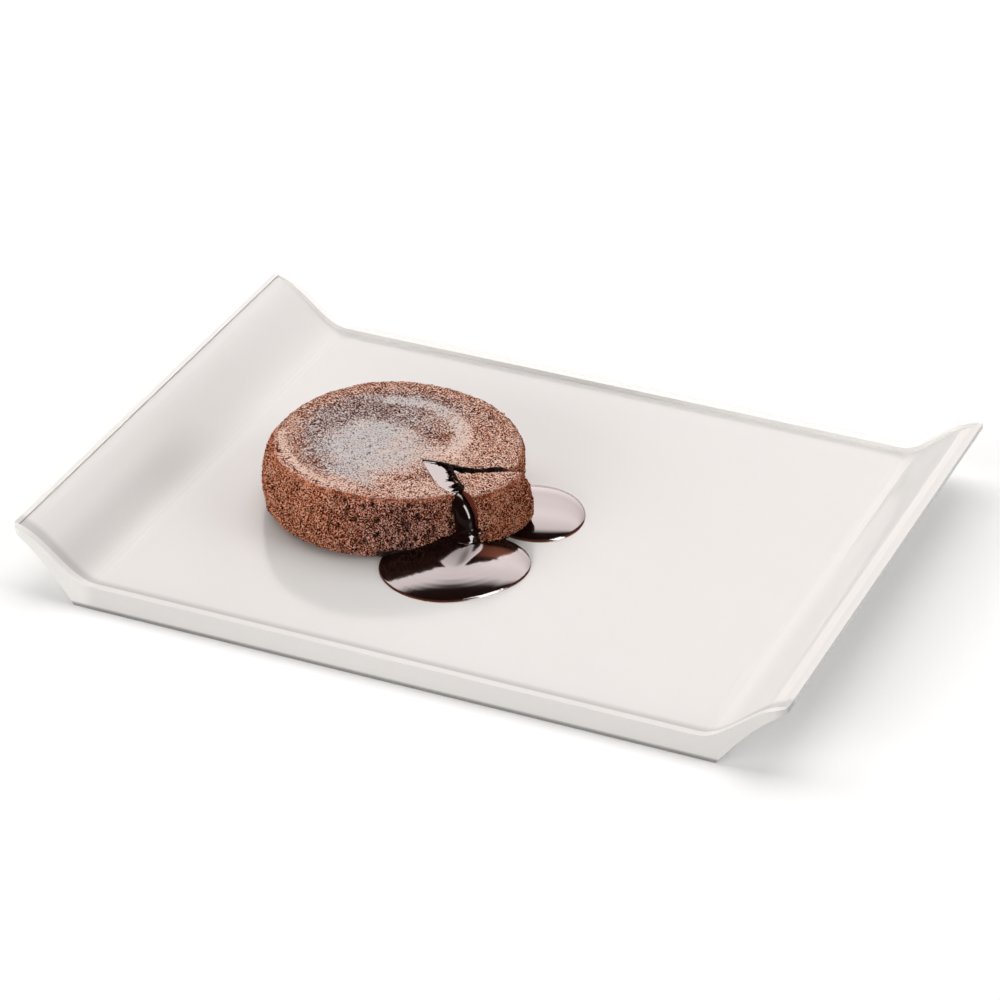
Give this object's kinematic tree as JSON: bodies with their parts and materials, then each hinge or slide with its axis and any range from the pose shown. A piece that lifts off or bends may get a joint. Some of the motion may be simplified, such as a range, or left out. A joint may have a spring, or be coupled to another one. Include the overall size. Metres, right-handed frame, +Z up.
{
  "type": "chocolate souffle on a plate",
  "caption": "Small round baked chocolate souffle with a molten centre, cut open so that sauce runs out, served on a low rectangular plate with upturned ends.",
  "frame": {"origin": "on the table, under the middle of the plate", "axes": "+X along the plate's length, +Y across it, away from the diner, and +Z up"},
  "size_m": [0.25, 0.1808, 0.0292],
  "materials": {
    "glazed_porcelain": "white gloss glaze",
    "chocolate_crumb": "dry open crumb, dusted with icing sugar on top",
    "molten_chocolate": "wet, near mirror gloss"
  },
  "bodies": {
    "root": {"plate": "glazed_porcelain", "souffle_cake": "chocolate_crumb", "cake_wedge": "chocolate_crumb", "molten_sauce": "molten_chocolate", "side_sauce_pool": "molten_chocolate"}
  },
  "joints": []
}
